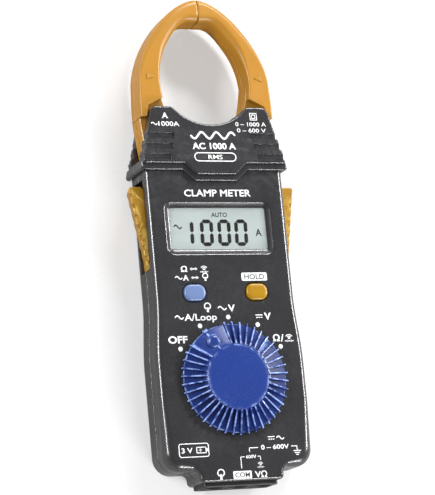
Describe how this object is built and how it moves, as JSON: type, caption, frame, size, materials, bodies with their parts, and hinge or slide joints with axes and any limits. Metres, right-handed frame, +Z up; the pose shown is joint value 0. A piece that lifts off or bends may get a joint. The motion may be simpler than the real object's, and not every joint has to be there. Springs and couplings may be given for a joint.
{
  "type": "clamp meter",
  "caption": "Slim hand-held clamp meter with two spring-closed sensing jaws, side levers, a display, two push buttons, a round function dial and sockets at its lower end.",
  "frame": {"origin": "centre of the footprint, at the height of the surface that the back of the meter lies on", "axes": "+X to the right of the display, +Y from the sockets to the jaw tips, +Z up out of the display face"},
  "size_m": [0.065, 0.181, 0.0208],
  "materials": {
    "casing_charcoal": "fine moulded texture",
    "jaw_yellow": "satin moulded",
    "lever_yellow": "satin moulded",
    "dial_blue": "satin moulded",
    "button_blue": "smooth moulded",
    "button_amber": "smooth moulded",
    "clear_pane": "clear",
    "lcd_glass": "grey-green reflective display",
    "black_plastic": "satin moulded",
    "board_green": "solder mask",
    "rubber_black": "matte",
    "steel": "plated",
    "spring_steel": "bright drawn",
    "core_laminate": "stacked laminations",
    "brass": "bright",
    "copper_wire": "enamelled windings",
    "rotor_white": "natural moulded"
  },
  "bodies": {
    "casing": {"front_casing": "casing_charcoal", "rear_casing": "casing_charcoal", "front_barrier": "casing_charcoal", "rear_barrier": "casing_charcoal", "terminal_block": "black_plastic", "sensor_contact": "brass", "com_contact": "brass", "volt_contact": "brass", "main_board": "board_green", "display_window": "clear_pane", "lcd_panel": "lcd_glass", "lcd_holder": "black_plastic", "elastomer_strip": "rubber_black", "buzzer_disc": "brass", "battery_cover": "casing_charcoal", "battery_cover_screw": "steel", "coin_cell": "steel", "battery_contact_negative": "brass", "battery_contact_positive": "brass", "case_screw_lower_right": "steel", "case_screw_lower_left": "steel", "case_screw_upper_right": "steel", "case_screw_upper_left": "steel", "select_dome": "spring_steel", "hold_dome": "spring_steel", "detent_spring": "spring_steel", "jaw_pivot_pin_right": "steel", "jaw_spring_right": "spring_steel", "lever_pin_right": "steel", "jaw_pivot_pin_left": "steel", "jaw_spring_left": "spring_steel", "lever_pin_left": "steel"},
    "dial": {"dial_knob": "dial_blue", "switch_rotor": "rotor_white", "switch_wiper": "brass"},
    "select_button": {"select_button": "button_blue"},
    "hold_button": {"hold_button": "button_amber"},
    "jaw_right": {"jaw_front_shell_right": "jaw_yellow", "jaw_rear_shell_right": "jaw_yellow", "jaw_core_right": "core_laminate", "jaw_coil_right": "copper_wire"},
    "jaw_left": {"jaw_front_shell_left": "jaw_yellow", "jaw_rear_shell_left": "jaw_yellow", "jaw_core_left": "core_laminate", "jaw_coil_left": "copper_wire"},
    "lever_right": {"lever_right": "lever_yellow"},
    "lever_left": {"lever_left": "lever_yellow"}
  },
  "joints": [
    {"name": "dial_turn", "type": "hinge", "parent": "casing", "child": "dial", "pos_m": [0, -0.0525, 0.016], "axis": [0, 0, 1], "range_deg": [-90, 30]},
    {"name": "select_press", "type": "slide", "parent": "casing", "child": "select_button", "axis": [0, 0, -1], "range_m": [0, 0.0008], "stiffness_N_per_m": 700, "springref_m": -0.0005},
    {"name": "hold_press", "type": "slide", "parent": "casing", "child": "hold_button", "axis": [0, 0, -1], "range_m": [0, 0.0008], "stiffness_N_per_m": 700, "springref_m": -0.0005},
    {"name": "jaw_right_open", "type": "hinge", "parent": "casing", "child": "jaw_right", "pos_m": [0.006, 0.0295, 0.0081], "axis": [0, 0, -1], "range_deg": [0, 18.5], "stiffness_Nm_per_rad": 0.4, "springref_deg": -17.19, "deforming": ["jaw_spring_right"]},
    {"name": "jaw_left_open", "type": "hinge", "parent": "casing", "child": "jaw_left", "pos_m": [-0.006, 0.0295, 0.0081], "axis": [0, 0, 1], "range_deg": [0, 18.5], "stiffness_Nm_per_rad": 0.4, "springref_deg": -17.19, "deforming": ["jaw_spring_left"]},
    {"name": "lever_right_press", "type": "hinge", "parent": "casing", "child": "lever_right", "pos_m": [0.023, -0.0075, 0.008], "axis": [0, 0, 1], "range_deg": [0, 10.2]},
    {"name": "lever_left_press", "type": "hinge", "parent": "casing", "child": "lever_left", "pos_m": [-0.023, -0.0075, 0.008], "axis": [0, 0, -1], "range_deg": [0, 10.2]}
  ],
  "couplings": [
    {"joint": "lever_right_press", "follows": "jaw_right_open", "ratio": 0.551},
    {"joint": "lever_left_press", "follows": "jaw_left_open", "ratio": 0.551}
  ]
}
